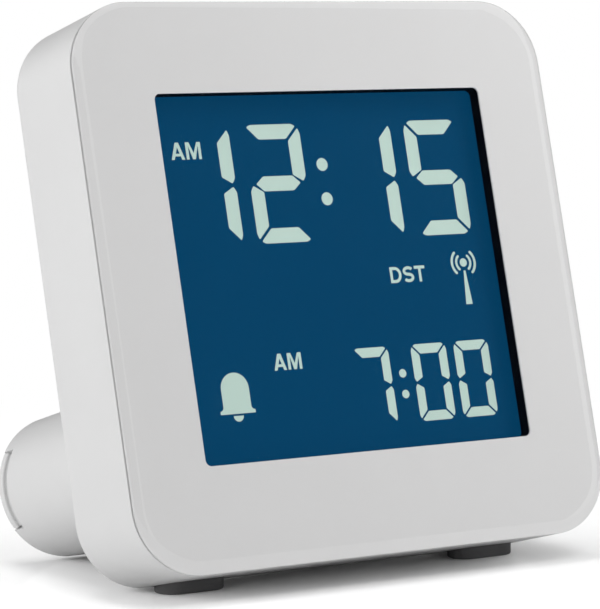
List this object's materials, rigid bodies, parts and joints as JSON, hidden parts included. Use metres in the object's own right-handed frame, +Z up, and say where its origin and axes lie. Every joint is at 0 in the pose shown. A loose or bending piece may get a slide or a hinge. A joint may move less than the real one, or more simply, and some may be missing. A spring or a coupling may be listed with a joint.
{
  "type": "alarm clock",
  "caption": "Square leaning digital alarm clock: recessed blue display, round-ended battery foot, snooze bar, rear set buttons, alarm switch and pull-off cover.",
  "frame": {"origin": "centre of the footprint, on the surface that the clock stands on", "axes": "+X to the right of someone who reads the display, -Y towards them, +Z up"},
  "size_m": [0.076, 0.0476, 0.0777],
  "materials": {
    "clear_acrylic": "clear, polished",
    "white_print": "white print, smooth",
    "white_plastic": "satin moulded",
    "black_plastic": "dull",
    "display_glass": "negative blue display",
    "light_guide": "clear, frosted back",
    "rubber": "matt",
    "board": "solder resist",
    "ferrite": "sintered, dull",
    "copper": "enamelled wire",
    "steel": "zinc plated",
    "nickel": "nickel plated",
    "cell_sleeve": "plain printed sleeve"
  },
  "bodies": {
    "body": {"front_panel": "clear_acrylic", "front_print": "white_print", "front_bezel": "white_plastic", "lcd_gasket": "black_plastic", "lcd_front_glass": "display_glass", "lcd_rear_glass": "display_glass", "light_guide": "light_guide", "backlight_led_left": "white_plastic", "backlight_led_right": "white_plastic", "lcd_holder": "white_plastic", "zebra_strip": "rubber", "main_board": "board", "controller_chip": "black_plastic", "crystal": "steel", "receiver_module": "board", "antenna_rod": "ferrite", "antenna_coil": "copper", "sounder": "black_plastic", "rear_shell": "white_plastic", "snooze_switch": "black_plastic", "button_switch_1": "black_plastic", "button_switch_2": "black_plastic", "button_switch_3": "black_plastic", "button_switch_4": "black_plastic", "alarm_switch_body": "steel", "housing_screw_1": "steel", "housing_screw_2": "steel", "housing_screw_3": "steel", "housing_screw_4": "steel", "board_screw_1": "steel", "board_screw_2": "steel", "board_screw_3": "steel", "board_screw_4": "steel", "battery_cell_inner": "cell_sleeve", "battery_cell_outer": "cell_sleeve", "contact_bridge": "nickel", "contact_positive": "nickel", "contact_negative": "nickel", "body_pad_left": "rubber", "body_pad_right": "rubber", "foot_pad_left": "rubber", "foot_pad_right": "rubber"},
    "snooze": {"snooze_bar": "white_plastic"},
    "alarm_switch": {"alarm_switch_knob": "white_plastic", "alarm_switch_lever": "black_plastic"},
    "cover": {"battery_cover": "white_plastic"},
    "button_1": {"set_button_1": "white_plastic"},
    "button_2": {"set_button_2": "white_plastic"},
    "button_3": {"set_button_3": "white_plastic"},
    "button_4": {"set_button_4": "white_plastic"}
  },
  "joints": [
    {"name": "snooze_press", "type": "slide", "parent": "body", "child": "snooze", "axis": [0, -0.2588, -0.9659], "range_m": [0, 0.0008], "stiffness_N_per_m": 500, "springref_m": -0.0015},
    {"name": "button_1_press", "type": "slide", "parent": "body", "child": "button_1", "axis": [0, -0.9659, 0.2588], "range_m": [0, 0.0005], "stiffness_N_per_m": 400, "springref_m": -0.0015},
    {"name": "button_2_press", "type": "slide", "parent": "body", "child": "button_2", "axis": [0, -0.9659, 0.2588], "range_m": [0, 0.0005], "stiffness_N_per_m": 400, "springref_m": -0.0015},
    {"name": "button_3_press", "type": "slide", "parent": "body", "child": "button_3", "axis": [0, -0.9659, 0.2588], "range_m": [0, 0.0005], "stiffness_N_per_m": 400, "springref_m": -0.0015},
    {"name": "button_4_press", "type": "slide", "parent": "body", "child": "button_4", "axis": [0, -0.9659, 0.2588], "range_m": [0, 0.0005], "stiffness_N_per_m": 400, "springref_m": -0.0015},
    {"name": "alarm_switch_slide", "type": "slide", "parent": "body", "child": "alarm_switch", "axis": [1, 0, 0], "range_m": [0, 0.003]},
    {"name": "cover_pull", "type": "slide", "parent": "body", "child": "cover", "axis": [0, 0.9659, -0.2588], "range_m": [0, 0.008]}
  ]
}
